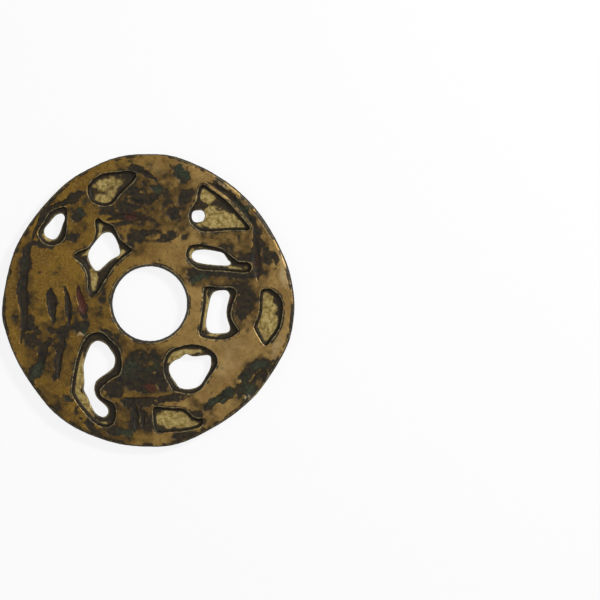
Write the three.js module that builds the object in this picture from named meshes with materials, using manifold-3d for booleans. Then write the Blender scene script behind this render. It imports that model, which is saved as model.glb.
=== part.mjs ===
// A cast bronze openwork charm coin: one round disc with a hole for a cord in the
// middle, seven pierced windows around it, and blind cells where the metal ran thin.
// Millimetres. The coin lies flat with its obverse up, +Z, and its reverse on z = 0.
import * as THREE from 'three';
import { mergeVertices } from 'three/addons/utils/BufferGeometryUtils.js';
import Module from 'manifold-3d';

const wasm = await Module();
wasm.setup();

// Disc
const DISC_DIAMETER = 55;
const DISC_THICKNESS = 2.4;
const RIM_ROUNDING = 0.55;

// Hole for the cord
const CORD_HOLE_WAIST_DIAMETER = 13.9;
const CORD_HOLE_FLARE = 0.45;
const CORD_HOLE_OFF_CENTRE = [0.3, -0.6];

// Cells sunk into each face, and the skin of metal left between them
const OBVERSE_CELL_DEPTH = 0.9;
const REVERSE_CELL_DEPTH = 0.75;
const CELL_WALL_SLOPE = 0.22;

// Furrows of the worn relief
const FURROW_DEPTH = 0.3;

// How finely curves are drawn
const RIM_STEPS = 96;
const STEPS_PER_OUTLINE_POINT = 2;
const FURROW_STATIONS = 6;

// A cutter runs this far past the face that it starts from
const OVERRUN = 0.5;

// The rim is not a true circle. Each pair is an angle in degrees, counter-clockwise
// from +X, and how far the rim lies outside or inside the disc's circle there.
const RIM_WOBBLE = [
  [0, 0], [12, -0.4], [22, -0.8], [30, -0.95], [41, -0.9], [52, -0.8], [62, -0.65],
  [73, -0.3], [82, 0.1], [90, 0], [97, 0.1], [105, 0], [114, -0.35], [123, -0.5],
  [134, -0.9], [146, -0.95], [159, -0.7], [174, -0.5], [186, 0.13], [193, -0.1],
  [205, -0.35], [218, -0.45], [228, -0.05], [238, 0.1], [247, 0], [255, 0],
  [263, 0], [271, 0], [278, 0.1], [285, -0.1], [292, -0.5], [305, -0.7],
  [318, -0.6], [326, -0.6], [339, -0.15], [346, 0.1], [356, 0.05],
];

// Each opening of the disc is placed by the distance of its middle from the rim's
// circle and by its angle, so it follows the rim. Outlines are measured from there.
// The piercing is the see-through hole, and a cell is the wider hollow around it.
const OPENINGS = {
  tear: {
    inset: 5.1,
    angle: 142,
    piercing: [
      [0.7, 2.4], [1.6, 2.5], [2, 1.8], [1.7, 0.9], [1.2, -0.6], [0.9, -1.4], [0.2, -2.2],
      [-0.5, -2.3], [-1, -2.1], [-1.7, -1.6], [-1.9, -0.9], [-1.7, -0.1], [-0.9, 0.8], [0, 1.9],
    ],
    obverse: [
      [-3, -0.9], [-1.9, 0.9], [-0.8, 2.8], [0.8, 3.6], [2.3, 3.7], [2.4, 0.9], [2.1, -1.7],
      [1.1, -3], [-0.8, -3.4], [-2.3, -2.6],
    ],
    reverse: [
      [-3.1, -1.8], [-1.9, 0.9], [-0.5, 2.6], [1.1, 3.1], [2.6, 2.7], [2.7, 0.9], [1.9, -1.7],
      [0.8, -3], [-1.5, -3.5], [-2.9, -3],
    ],
  },
  diamond: {
    inset: 15.2,
    angle: 132.2,
    piercing: [
      [0.6, 3.7], [1.3, 3.6], [2.1, 2.6], [3, 0], [2.8, -0.6], [1.5, -1.3], [0.2, -2.4],
      [-1.3, -3.6], [-2.1, -3], [-3, -1.1], [-2.9, 0], [-2.3, 1.1], [-1.3, 2.3], [-0.4, 3.4],
    ],
    obverse: [
      [-1.1, 6.4], [0, 5.6], [1.7, 4.9], [3, 2.3], [5.4, 0.4], [4.5, -0.4], [2.1, -2.4],
      [0.8, -4.3], [-0.4, -6.2], [-1.3, -7.7], [-2.3, -8], [-3, -6.8], [-3, -5.3], [-3.4, -3.4],
      [-4.5, -1.9], [-5.8, -0.9], [-4.9, 0], [-3, 0.8], [-1.9, 2.3], [-1.5, 4.1], [-1.7, 5.8],
    ],
    reverse: [
      [0.2, 5], [1.9, 4.9], [3.3, 2.6], [4.1, 0.2], [3.4, -1.3], [1.5, -2.4], [0, -3.6],
      [-1.5, -5], [-2.8, -4.3], [-3.9, -2.4], [-4.3, -0.2], [-3, 0.8], [-1.7, 2.8], [-0.9, 4.4],
    ],
  },
  small_round: {
    inset: 9.1,
    angle: 59.4,
    piercing: [[1.3, 0.1], [0.9, 1], [0, 1.1], [-0.9, 0.9], [-1.2, 0], [-0.8, -1], [0.2, -1.1], [1, -0.8]],
    obverse: [
      [0.9, 6], [2.6, 4.9], [5.3, 3], [7.3, 0.8], [9.6, -1.9], [9.8, -2.6], [7.9, -2.6],
      [5.1, -2.7], [1.3, -2.9], [0.2, -2.6], [-1.4, -1.2], [-1.7, 0.4], [-1.1, 1.6], [-0.2, 3],
      [-0.1, 4.1], [0.3, 5.4],
    ],
    reverse: [
      [-2.6, 3], [-1.5, 4.9], [-0.2, 5.8], [1.3, 5.6], [2.8, 4.1], [2.9, 1.9], [2.3, 0.2],
      [1.7, -1.3], [0.4, -2.1], [-1.5, -2.1], [-2.8, -1.1], [-3.2, 0.8],
    ],
  },
  slot: {
    inset: 13.4,
    angle: 34.4,
    piercing: [
      [-3.2, 1.1], [-2.4, 1.5], [-0.9, 1.6], [0.4, 1.4], [1.9, 1.1], [2.6, 0.8], [3.4, -0.4],
      [3.9, -0.8], [3.8, -1.2], [3.3, -1.4], [0, -1.2], [-1.9, -0.9], [-2.8, -0.6], [-3.5, 0.2],
    ],
    obverse: [
      [-4.3, 1.5], [-3.8, 2.3], [-2.4, 2.6], [-0.9, 2.5], [0.9, 2.1], [2.3, 1.7], [3.4, 0.9],
      [5.3, -0.7], [7.1, -0.8], [7.8, -1.5], [7.4, -2.6], [4.7, -2.6], [2.8, -2.4], [0.9, -2.3],
      [-0.9, -2.2], [-2.3, -2], [-3.8, -0.8], [-4.5, 0.4],
    ],
    reverse: [
      [-4, 1.3], [-2.4, 2.2], [-0.9, 2.3], [1.7, 1.9], [3.2, 1.1], [4.7, -0.4], [4.9, -1.3],
      [4, -2], [1.9, -2.1], [-0.9, -2], [-2.8, -1.6], [-4.1, -0.4],
    ],
  },
  rectangle: {
    inset: 14.1,
    angle: -10.1,
    piercing: [
      [-0.9, 3.9], [1.1, 4.3], [1.7, 4.1], [2.1, 3.4], [1.8, 2.1], [1.5, 0.2], [1.7, -1.3],
      [2.1, -2.4], [2.1, -3.3], [1.5, -3.7], [0.4, -3.8], [-1.1, -3.8], [-1.9, -3.4],
      [-2.3, -2.3], [-2.2, -0.9], [-1.8, 1.4], [-1.4, 3],
    ],
    obverse: [
      [-2.6, 4.9], [-0.6, 4.9], [1.3, 4.8], [2.8, 4.7], [3.4, 3.8], [2.8, 2.1], [2.4, 0.6],
      [2.4, -0.9], [3.2, -2.4], [3.8, -3.4], [3.3, -4], [2.3, -4.6], [0.8, -5], [-1.1, -4.9],
      [-2.4, -4.7], [-3.4, -4.3], [-3.6, -3.4], [-3.4, -1.7], [-3, 0.6], [-2.8, 2.4],
    ],
    reverse: [
      [-2.4, 4.5], [-0.9, 4.8], [1.3, 4.9], [2.8, 4.3], [3.3, 3], [3, 1.3], [3, -0.9],
      [3.4, -2.8], [3, -4.2], [1.3, -4.7], [-1.1, -4.7], [-2.8, -4.1], [-3.3, -2.4], [-2.9, 0.6],
    ],
  },
  comma: {
    inset: 9.8,
    angle: -122.7,
    piercing: [
      [0, 7.3], [-0.8, 6.9], [-1.5, 6], [-2.3, 3.8], [-2.6, 2.4], [-2.4, -0.4], [-2.5, -1.9],
      [-1.9, -3], [-1.5, -4.1], [-0.9, -5.4], [-0.2, -6.4], [0.9, -7], [1.7, -6.8], [2.1, -5.8],
      [1.5, -4.8], [0.2, -3.7], [-0.4, -2.7], [-0.6, -1.5], [-0.4, -0.6], [0, 0], [1.5, 1.1],
      [3, 2.3], [3.3, 3.4], [3.2, 4.5], [2.6, 5.4], [1.9, 6.4], [1.1, 7],
    ],
    obverse: [
      [-1.7, 8.3], [-0.4, 8.9], [1.1, 8.8], [2.4, 7.5], [3.6, 6.4], [4.3, 5.3], [4.6, 2.4],
      [4.1, 0.9], [3, 0.4], [1.7, -0.6], [0.6, -1.7], [0.5, -2.4], [0.9, -3.2], [3, -4.3],
      [3.5, -5.4], [3.5, -6.9], [3, -8.3], [1.7, -8.9], [0, -8.4], [-2.1, -6.4], [-3.9, -4.1],
      [-4.7, -2.6], [-4.7, -1.1], [-4.2, 1.9], [-3.8, 3.8], [-2.8, 6.6],
    ],
    reverse: [
      [-1.7, 8.1], [0, 8.7], [1.7, 8], [3.3, 6.6], [4.1, 4.9], [4.4, 2.6], [3.9, 1.1], [2.4, 0.4],
      [0.9, -0.6], [0.5, -2], [1.1, -3.4], [3, -4.3], [3.8, -6], [3.2, -8.1], [1.5, -8.6],
      [-0.9, -7.5], [-2.4, -5.8], [-3.4, -3.8], [-3.9, -1.9], [-3.9, 0.6], [-4.1, 2.4], [-3.4, 5],
    ],
  },
  pentagon: {
    inset: 12.1,
    angle: -59.2,
    piercing: [
      [-4, 0.4], [-3.8, 1.1], [-2.8, 2], [-1.9, 2.3], [-0.8, 3.2], [0.4, 2.7], [1.9, 2.8],
      [3.6, 2.9], [3.9, 2.3], [3.8, 0.6], [3, -0.9], [2.1, -2.4], [1.3, -3], [0, -3.4],
      [-1.9, -3.2], [-2.6, -2.4], [-3.6, -0.9],
    ],
    obverse: [
      [-4.1, 3.4], [-3.2, 4.1], [-2.3, 4.4], [-1.1, 4.8], [0.4, 5], [1.9, 4.8], [3, 4.4],
      [4.7, 3.2], [5.2, 1.5], [4.3, -0.2], [3, -2.1], [2.3, -3.2], [1.5, -3.8], [0.4, -4.3],
      [-0.9, -4.2], [-2.3, -3.9], [-3.2, -3.6], [-3.8, -2.6], [-4.5, -1.3], [-4.9, 0.2],
      [-4.8, 1.9],
    ],
    reverse: [
      [-3.9, 1.9], [-2.4, 3], [-0.9, 3.8], [1.5, 3.6], [4.3, 3.8], [5, 2.4], [4.6, 0],
      [3.5, -2], [2.1, -3.9], [0, -4.3], [-2.1, -4.1], [-3.3, -3.2], [-4.1, -1.7], [-4.7, 0],
    ],
  },
  upper_left_cell: {
    inset: 5.1,
    angle: 108.5,
    obverse: [
      [-4.1, 0.4], [-2.3, 2.1], [-1.3, 2.6], [1.5, 2.9], [3.2, 3.1], [4.7, 2.8], [4.9, 1.9],
      [3.4, 0.2], [1.7, -1.5], [0.9, -2.6], [0, -3.3], [-1.3, -3.5], [-2.4, -3.2], [-3.5, -2.6],
      [-4.2, -1.1],
    ],
    reverse: [
      [-0.6, 0], [1.5, 0.2], [3, 0], [3.2, -1.5], [2.3, -3.2], [1.1, -3.6], [-0.4, -3.8],
      [-0.8, -2.4], [-0.4, -1.3],
    ],
  },
  right_cell: {
    inset: 4.3,
    angle: -7.6,
    obverse: [
      [-1.7, 5.1], [-0.2, 5.3], [1.1, 4.5], [1.9, 3.6], [2.3, 2.3], [2.3, 0.9], [1.7, -2.1],
      [0.2, -4.3], [-0.9, -5.5], [-2.4, -3.4], [-3.1, -1.9], [-2.6, -0.6], [-2.1, 0.9],
      [-2, 2.4], [-2, 3.8],
    ],
  },
  bottom_cell: {
    inset: 4.4,
    angle: -75.9,
    obverse: [
      [-4.5, 2.4], [-2.4, 2.3], [-0.6, 2.2], [0.9, 2.1], [1.9, 1.5], [2.8, 0.6], [3.9, 0.2],
      [4.6, 0.3], [4.7, -0.6], [4.2, -1.3], [2.3, -1.9], [0, -2.2], [-1.9, -2.3], [-3.8, -2.4],
      [-4.4, -1.3], [-4.7, 1.3],
    ],
    reverse: [
      [-3.4, 1.9], [-1.5, 2.1], [0, 2.1], [0.4, 1.1], [-0.4, 0], [-0.6, -1.7], [-1.1, -2.3],
      [-2.8, -2.3], [-3.6, -1.5], [-3.8, 0.4],
    ],
  },
  left_cell: {
    inset: 4.1,
    angle: -156.1,
    reverse: [
      [-2.2, 2.8], [-0.8, 2.3], [0.8, 1.5], [2.1, 0.6], [2.3, -0.8], [1.7, -1.7], [0.4, -2.6],
      [-0.8, -2.3], [-1.7, -1.1], [-2.2, 0.6],
    ],
  },
};

// Furrows are grouped in fields, placed as the openings are. A furrow is its width,
// its depth as a multiple of the usual one, and the points that its middle line passes.
const OBVERSE_FURROWS = [
  {
    inset: 11.9,
    angle: 181.7,
    furrows: [
      { width: 2.2, deep: 1, path: [[-6.9, 10.9], [-7.5, 5.8], [-8.1, 0.9], [-7.5, -2.8], [-8.4, -7.9]] },
      { width: 1.9, deep: 1.2, path: [[-2.8, 3], [-2.6, 0.6], [-2.3, -1.7], [-2.2, -3.6]] },
      { width: 1, deep: 1, path: [[0, 3.4], [0.4, 1.5], [0.6, -1.3], [0.9, -4.7]] },
      { width: 1.5, deep: 0.8, path: [[2.4, 3.8], [2.8, 0.9], [3.9, -2.3]] },
    ],
  },
  {
    inset: 6.2,
    angle: -149.6,
    furrows: [
      { width: 1.5, deep: 1, path: [[-0.4, 3.4], [-1.5, 0.4], [-2.6, -3.8]] },
      { width: 1.1, deep: 1, path: [[2.8, 4.7], [1.9, 0.6], [1.5, -4.5]] },
    ],
  },
  {
    inset: 5.5,
    angle: -95.4,
    furrows: [
      { width: 1.3, deep: 1.2, path: [[-0.4, 2.6], [-0.2, 0.2], [-0.2, -2.4]] },
      { width: 0.8, deep: 1, path: [[1.3, 1.7], [1.2, 0], [1.1, -1.9]] },
      { width: 1, deep: 0.8, path: [[-3.2, 3.6], [0.6, 3.3], [4.3, 3.6]] },
    ],
  },
  {
    inset: 4.5,
    angle: -54.1,
    furrows: [
      { width: 1.3, deep: 1.2, path: [[-2.3, -1.7], [-0.4, 0.2], [2.4, 1.9]] },
      { width: 3.2, deep: 1.5, path: [[5.4, 0.4], [7.1, 3], [8.6, 6]] },
    ],
  },
  {
    inset: 2.7,
    angle: 51.6,
    furrows: [
      { width: 1.1, deep: 1, path: [[-5.1, 3.2], [-0.9, 0.8], [1.9, -1.9], [4.3, -5.1], [5.1, -7.5]] },
    ],
  },
  {
    inset: 5.7,
    angle: 21.5,
    furrows: [{ width: 1.5, deep: 1, path: [[-0.2, 4.3], [0, 0], [0.4, -4.5]] }],
  },
  {
    inset: 6.7,
    angle: 94.1,
    furrows: [
      { width: 0.8, deep: 0.8, path: [[-0.9, 3.6], [0.8, 3.1], [2.3, 2.3]] },
      { width: 0.8, deep: 0.8, path: [[-2.3, -1.7], [-0.6, -2.2], [1.1, -2.4]] },
      { width: 1.1, deep: 1, path: [[-6.8, -5.8], [-3, -4.9], [0.9, -5.6]] },
    ],
  },
  {
    inset: 3,
    angle: 137.3,
    furrows: [{ width: 1.3, deep: 1, path: [[5.3, 2.3], [1.5, 1.6], [-2.6, -2.4], [-4.1, -6.2]] }],
  },
];

const REVERSE_FURROWS = [
  {
    inset: 12.9,
    angle: 179.6,
    furrows: [
      { width: 1.6, deep: 1.2, path: [[-4.7, 4.7], [-4.5, 0], [-4.9, -4.1]] },
      { width: 1.4, deep: 1.2, path: [[0.6, 3.6], [0.4, 0], [-0.4, -5.6]] },
      { width: 1.3, deep: 1, path: [[4.5, 4.5], [4.5, 0.9], [4.7, -2.3]] },
      { width: 2, deep: 1, path: [[-9.4, 7.1], [-9.4, 2.8], [-9, -1.1]] },
      { width: 1.5, deep: 1, path: [[0.9, -5.6], [2.8, -5.2], [4.7, -4.5]] },
      { width: 1.3, deep: 1, path: [[-0.8, -7.5], [-0.9, -11], [-0.6, -14.1]] },
    ],
  },
  {
    inset: 6.3,
    angle: 126.9,
    furrows: [
      { width: 2, deep: 1.2, path: [[3.8, 5.3], [0.4, 1.9], [-1.9, -2.8], [-4.1, -7.1]] },
      { width: 1.8, deep: 1.2, path: [[5.6, 6.4], [9.4, 7.1], [13.1, 6]] },
      { width: 1.2, deep: 1, path: [[9.4, 3.8], [9.8, 0.9], [10.2, -1.5]] },
    ],
  },
  {
    inset: 5.5,
    angle: -95.4,
    furrows: [
      { width: 1.2, deep: 1.2, path: [[-0.6, 3.2], [-0.2, 0.9], [-0.6, -2.8]] },
      { width: 1.2, deep: 1, path: [[-4.1, 3.6], [-0.4, 4.3], [3.4, 3.2]] },
      { width: 0.9, deep: 1, path: [[3.6, 1.7], [3.5, -0.6], [3.6, -2.8]] },
    ],
  },
  {
    inset: 8,
    angle: -49.9,
    furrows: [
      { width: 1.5, deep: 1, path: [[-0.2, 1.5], [-0.1, -0.2], [0.6, -2.3]] },
      { width: 2.4, deep: 1.3, path: [[4.7, -4.3], [7.7, -0.4], [9.6, 2.6]] },
    ],
  },
  {
    inset: 5.7,
    angle: 21.5,
    furrows: [
      { width: 1.4, deep: 1, path: [[-3.8, -1.3], [-3.7, -3.2], [-3.8, -5.1]] },
      { width: 3, deep: 1.7, path: [[2.8, 4.1], [2.8, 1.9], [3.6, -0.4]] },
      { width: 2.6, deep: 1, path: [[1.7, -4.1], [3, -7.9], [2.3, -12.6]] },
    ],
  },
];

// The middle of an opening or a field, from its distance to the rim and its angle
function placeOf({ inset, angle }) {
  const radius = DISC_DIAMETER / 2 - inset;
  const turn = THREE.MathUtils.degToRad(angle);
  return new THREE.Vector2(radius * Math.cos(turn), radius * Math.sin(turn));
}

// Points along a smooth closed line through an outline's own points
function smoothOutline(points, place) {
  const corners = points.map(([x, y]) => new THREE.Vector3(x + place.x, y + place.y, 0));
  const curve = new THREE.CatmullRomCurve3(corners, true, 'centripetal');
  const steps = points.length * STEPS_PER_OUTLINE_POINT;
  const line = curve.getPoints(steps).slice(0, steps).map((p) => new THREE.Vector2(p.x, p.y));
  return THREE.ShapeUtils.isClockWise(line) ? line.reverse() : line;
}

// The same line drawn in by a distance, point for point
function drawnIn(line, distance) {
  return line.map((point, i) => {
    const before = line.at(i - 1);
    const after = line[(i + 1) % line.length];
    const along = after.clone().sub(before).normalize();
    return new THREE.Vector2(point.x - along.y * distance, point.y + along.x * distance);
  });
}

// A closed body through rings of points that all have the same count, with flat ends.
// The rings run upward, and each runs counter-clockwise seen from above.
function bodyThroughRings(rings) {
  const count = rings[0].length;
  const positions = rings.flatMap((ring) => ring.flatMap((p) => [p.x, p.y, p.z]));
  const faces = [];
  for (let r = 0; r < rings.length - 1; r += 1) {
    for (let i = 0; i < count; i += 1) {
      const here = r * count + i;
      const next = r * count + ((i + 1) % count);
      faces.push(here, next, next + count);
      faces.push(here, next + count, here + count);
    }
  }
  const endFaces = (ring, first, flip) => {
    const flat = ring.map((p) => new THREE.Vector2(p.x, p.y));
    THREE.ShapeUtils.triangulateShape(flat, []).forEach(([a, b, c]) => {
      faces.push(...(flip ? [first + a, first + c, first + b] : [first + a, first + b, first + c]));
    });
  };
  endFaces(rings[0], 0, true);
  endFaces(rings.at(-1), (rings.length - 1) * count, false);
  const geometry = new THREE.BufferGeometry();
  geometry.setAttribute('position', new THREE.Float32BufferAttribute(positions, 3));
  geometry.setIndex(faces);
  return geometry;
}

function ringAt(line, z) {
  return line.map((p) => new THREE.Vector3(p.x, p.y, z));
}

// The whole blank: the wobbling rim, rounded over at both faces
function discBlank() {
  const corners = RIM_WOBBLE.map(([angle, wobble]) => {
    const place = placeOf({ inset: -wobble, angle });
    return new THREE.Vector3(place.x, place.y, 0);
  });
  const curve = new THREE.CatmullRomCurve3(corners, true, 'centripetal');
  const rim = curve.getSpacedPoints(RIM_STEPS).slice(0, RIM_STEPS).map((p) => new THREE.Vector2(p.x, p.y));
  const soft = RIM_ROUNDING * 0.3;
  return bodyThroughRings([
    ringAt(drawnIn(rim, RIM_ROUNDING), 0),
    ringAt(drawnIn(rim, soft), soft),
    ringAt(rim, RIM_ROUNDING),
    ringAt(rim, DISC_THICKNESS - RIM_ROUNDING),
    ringAt(drawnIn(rim, soft), DISC_THICKNESS - soft),
    ringAt(drawnIn(rim, RIM_ROUNDING), DISC_THICKNESS),
  ]);
}

// The cord's hole is narrowest half way through and flares to both faces
function cordHoleCutter() {
  const waist = CORD_HOLE_WAIST_DIAMETER / 2;
  const mouth = waist + CORD_HOLE_FLARE;
  const profile = [
    new THREE.Vector2(0, -OVERRUN),
    new THREE.Vector2(mouth, -OVERRUN),
    new THREE.Vector2(mouth, 0),
    new THREE.Vector2(waist, DISC_THICKNESS / 2),
    new THREE.Vector2(mouth, DISC_THICKNESS),
    new THREE.Vector2(mouth, DISC_THICKNESS + OVERRUN),
    new THREE.Vector2(0, DISC_THICKNESS + OVERRUN),
  ];
  const cutter = new THREE.LatheGeometry(profile, 48);
  cutter.rotateX(Math.PI / 2);
  const [x, y] = CORD_HOLE_OFF_CENTRE;
  cutter.translate(x, y, 0);
  return cutter;
}

function piercingCutter(points, place) {
  const line = smoothOutline(points, place);
  return bodyThroughRings([ringAt(line, -OVERRUN), ringAt(line, DISC_THICKNESS + OVERRUN)]);
}

function obverseCellCutter(points, place) {
  const line = smoothOutline(points, place);
  return bodyThroughRings([
    ringAt(drawnIn(line, CELL_WALL_SLOPE), DISC_THICKNESS - OBVERSE_CELL_DEPTH),
    ringAt(line, DISC_THICKNESS),
    ringAt(line, DISC_THICKNESS + OVERRUN),
  ]);
}

function reverseCellCutter(points, place) {
  const line = smoothOutline(points, place);
  return bodyThroughRings([
    ringAt(line, -OVERRUN),
    ringAt(line, 0),
    ringAt(drawnIn(line, CELL_WALL_SLOPE), REVERSE_CELL_DEPTH),
  ]);
}

// A trough along a line on one face, tapering to nothing at both ends. Its ends are
// small flats, and it is cut with a section of six points that reaches past the face.
function furrowCutter({ width, deep, path }, place, face, outward) {
  const corners = path.map(([x, y]) => new THREE.Vector3(x + place.x, y + place.y, 0));
  const curve = new THREE.CatmullRomCurve3(corners, false, 'centripetal');
  const rings = [];
  for (let s = 0; s <= FURROW_STATIONS; s += 1) {
    const t = s / FURROW_STATIONS;
    const swell = Math.sqrt(Math.sin(Math.PI * Math.min(Math.max(t, 0.02), 0.98)));
    const middle = curve.getPointAt(t);
    const along = curve.getTangentAt(t);
    const half = (width / 2) * swell;
    const depth = FURROW_DEPTH * deep * swell;
    const section = [
      [half, OVERRUN], [half, 0], [half * 0.5, -depth],
      [-half * 0.5, -depth], [-half, 0], [-half, OVERRUN],
    ];
    rings.push(section.map(([side, rise]) => new THREE.Vector3(
      middle.x - along.y * side,
      middle.y + along.x * side,
      face + outward * rise,
    )));
  }
  return tubeThroughSections(rings, outward < 0);
}

// A closed body through upright sections that follow one another, ends fanned shut
function tubeThroughSections(sections, flip) {
  const count = sections[0].length;
  const positions = sections.flatMap((ring) => ring.flatMap((p) => [p.x, p.y, p.z]));
  const faces = [];
  const add = (a, b, c) => faces.push(...(flip ? [a, c, b] : [a, b, c]));
  for (let s = 0; s < sections.length - 1; s += 1) {
    for (let i = 0; i < count; i += 1) {
      const here = s * count + i;
      const next = s * count + ((i + 1) % count);
      add(here, here + count, next + count);
      add(here, next + count, next);
    }
  }
  const last = (sections.length - 1) * count;
  for (let i = 1; i < count - 1; i += 1) {
    add(0, i, i + 1);
    add(last, last + i + 1, last + i);
  }
  const geometry = new THREE.BufferGeometry();
  geometry.setAttribute('position', new THREE.Float32BufferAttribute(positions, 3));
  geometry.setIndex(faces);
  return geometry;
}

// Between three.js geometry and the solids that can be cut
function solidFrom(geometry) {
  const plain = geometry.clone();
  plain.deleteAttribute('normal');
  plain.deleteAttribute('uv');
  const welded = mergeVertices(plain, 1e-4);
  return new wasm.Manifold(new wasm.Mesh({
    numProp: 3,
    vertProperties: new Float32Array(welded.attributes.position.array),
    triVerts: new Uint32Array(welded.index.array),
  }));
}

function geometryFrom(solid) {
  const mesh = solid.getMesh();
  const geometry = new THREE.BufferGeometry();
  geometry.setAttribute('position', new THREE.BufferAttribute(new Float32Array(mesh.vertProperties), 3));
  geometry.setIndex(new THREE.BufferAttribute(new Uint32Array(mesh.triVerts), 1));
  geometry.computeVertexNormals();
  return geometry;
}

function allCutters() {
  const cutters = [cordHoleCutter()];
  Object.values(OPENINGS).forEach((opening) => {
    const place = placeOf(opening);
    if (opening.piercing) cutters.push(piercingCutter(opening.piercing, place));
    if (opening.obverse) cutters.push(obverseCellCutter(opening.obverse, place));
    if (opening.reverse) cutters.push(reverseCellCutter(opening.reverse, place));
  });
  OBVERSE_FURROWS.forEach((field) => field.furrows.forEach((furrow) => {
    cutters.push(furrowCutter(furrow, placeOf(field), DISC_THICKNESS, 1));
  }));
  REVERSE_FURROWS.forEach((field) => field.furrows.forEach((furrow) => {
    cutters.push(furrowCutter(furrow, placeOf(field), 0, -1));
  }));
  return cutters;
}

function castDisc() {
  const blank = solidFrom(discBlank());
  const cut = wasm.Manifold.union(allCutters().map(solidFrom));
  const geometry = geometryFrom(blank.subtract(cut));
  const bronze = new THREE.MeshStandardMaterial({ color: 0x6b5426, roughness: 0.5, metalness: 0.85 });
  const disc = new THREE.Mesh(geometry, bronze);
  disc.name = 'cast_disc';
  return disc;
}

const coin = new THREE.Group();
coin.add(castDisc());

export default coin;
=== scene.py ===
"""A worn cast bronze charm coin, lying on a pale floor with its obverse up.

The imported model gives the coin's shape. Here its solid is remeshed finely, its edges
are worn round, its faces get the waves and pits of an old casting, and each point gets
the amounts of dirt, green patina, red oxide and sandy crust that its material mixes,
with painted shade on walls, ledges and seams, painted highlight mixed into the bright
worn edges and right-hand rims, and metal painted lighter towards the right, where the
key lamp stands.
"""
import math

import bpy
import numpy as np
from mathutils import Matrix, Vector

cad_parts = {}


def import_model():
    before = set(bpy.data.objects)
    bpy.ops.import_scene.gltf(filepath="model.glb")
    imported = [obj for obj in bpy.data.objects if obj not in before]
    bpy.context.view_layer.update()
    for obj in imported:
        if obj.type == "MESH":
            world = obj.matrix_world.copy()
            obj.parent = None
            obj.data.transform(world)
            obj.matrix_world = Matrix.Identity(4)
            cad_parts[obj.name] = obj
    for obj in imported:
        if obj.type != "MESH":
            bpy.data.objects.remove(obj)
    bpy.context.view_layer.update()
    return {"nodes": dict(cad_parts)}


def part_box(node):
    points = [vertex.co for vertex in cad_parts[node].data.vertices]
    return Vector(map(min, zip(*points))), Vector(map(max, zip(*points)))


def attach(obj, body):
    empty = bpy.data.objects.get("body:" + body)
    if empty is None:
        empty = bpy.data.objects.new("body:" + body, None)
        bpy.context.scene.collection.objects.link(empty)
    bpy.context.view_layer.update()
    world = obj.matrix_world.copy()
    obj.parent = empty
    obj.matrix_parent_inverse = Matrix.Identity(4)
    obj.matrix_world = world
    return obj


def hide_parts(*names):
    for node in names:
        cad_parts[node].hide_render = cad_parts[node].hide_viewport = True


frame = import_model()

MM = 0.001

# The photograph is read in its own pixels. The coin is 293 of them across.
PHOTO_PIXEL = 55 * MM / 293
PHOTO_COIN_CENTRE = (148, 300.5)
PHOTO_MIDDLE = (300, 300)
PHOTO_SIDE = 600

# The coin's own sizes, from the frame
LOW, HIGH = (np.array(corner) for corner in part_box("cast_disc"))
THICKNESS = HIGH[2] - LOW[2]
RADIUS = (HIGH[0] - LOW[0]) / 2

# The fine mesh: its face size, and the rounds of smoothing that wear its edges, find
# the narrow hollows and find the broad ones
VOXEL = 0.14 * MM
WEAR_STEPS = 5
NARROW_STEPS = 12
BROAD_STEPS = 70

# Each noise has the width of its lumps, a seed and a count of layers
WANDER = 1.0 * MM
WANDER_ACROSS = (2.4 * MM, 11, 4)
WANDER_UP = (2.4 * MM, 23, 4)
BROAD = (5 * MM, 31, 4)
MIDDLING = (1.7 * MM, 41, 4)
SMALL = (0.75 * MM, 47, 3)
GRAIN = (0.4 * MM, 53, 2)
LAYER_FADE = 0.55

# A patch is full inside the first share of its half length and gone at the second
PATCH_FULL = 0.35
PATCH_GONE = 1.4

# Depths below a face between which a furrow, a cell and a cell's floor begin
FURROW_DEPTHS = (0.08 * MM, 0.25 * MM)
CELL_DEPTHS = (0.35 * MM, 0.6 * MM)
FLOOR_DEPTHS = (0.5 * MM, 0.66 * MM)

# A normal's upward share between which a wall turns into a face, and how far inside
# the edge the rim's own side begins
WALL_FLATNESS = (0.35, 0.85)
RIM_INSIDE = (2.2 * MM, 1.4 * MM)

# Where the metal's left-hand ochre turns into its right-hand tan, a painted light that
# lightens the side towards the key lamp
TAN_FROM = -12 * MM
TAN_TO = 14 * MM
TAN_WANDER = 2 * MM

# Heights of the relief
FACE_WAVES = 0.03 * MM
DARK_SINKS = 0.13 * MM
DARK_LUMPS = 0.07 * MM
SMALL_LUMPS = 0.05 * MM
FLOOR_LUMPS = 0.07 * MM
WALL_LUMPS = 0.05 * MM
GRAIN_HEIGHT = 0.016 * MM
BUMP_HEIGHT = 0.06 * MM

# Colours as they are seen on screen, 0 to 255
# The tans are painted light: the lighter right-hand side, towards the key lamp
OCHRE = (88, 62, 6)
TAN = (112, 86, 44)
BRIGHT_OCHRE = (110, 82, 14)
BRIGHT_TAN = (146, 118, 68)
BRIGHT_GRAIN = (150, 122, 70)
DARK_SPECK = (66, 46, 14)
BROWNS = ((38, 28, 10), (78, 58, 24))
# Pale metal, and painted highlight on the rims that face the key lamp
PALE_METAL_AND_HIGHLIGHT = (176, 156, 116)
RIM_SIDE = (92, 80, 60)
SANDS = ((104, 86, 38), (172, 152, 96))
REDS = ((44, 18, 8), (84, 42, 24))
# Dirt, and painted shade on walls, ledges and seams
GRIMES_AND_SHADE = ((8, 6, 3), (46, 36, 16))
GREENS = ((12, 18, 10), (52, 58, 38))
# Worn edges, with a painted highlight along every convex edge
WORN_EDGE_AND_HIGHLIGHT = (176, 160, 118)

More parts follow.
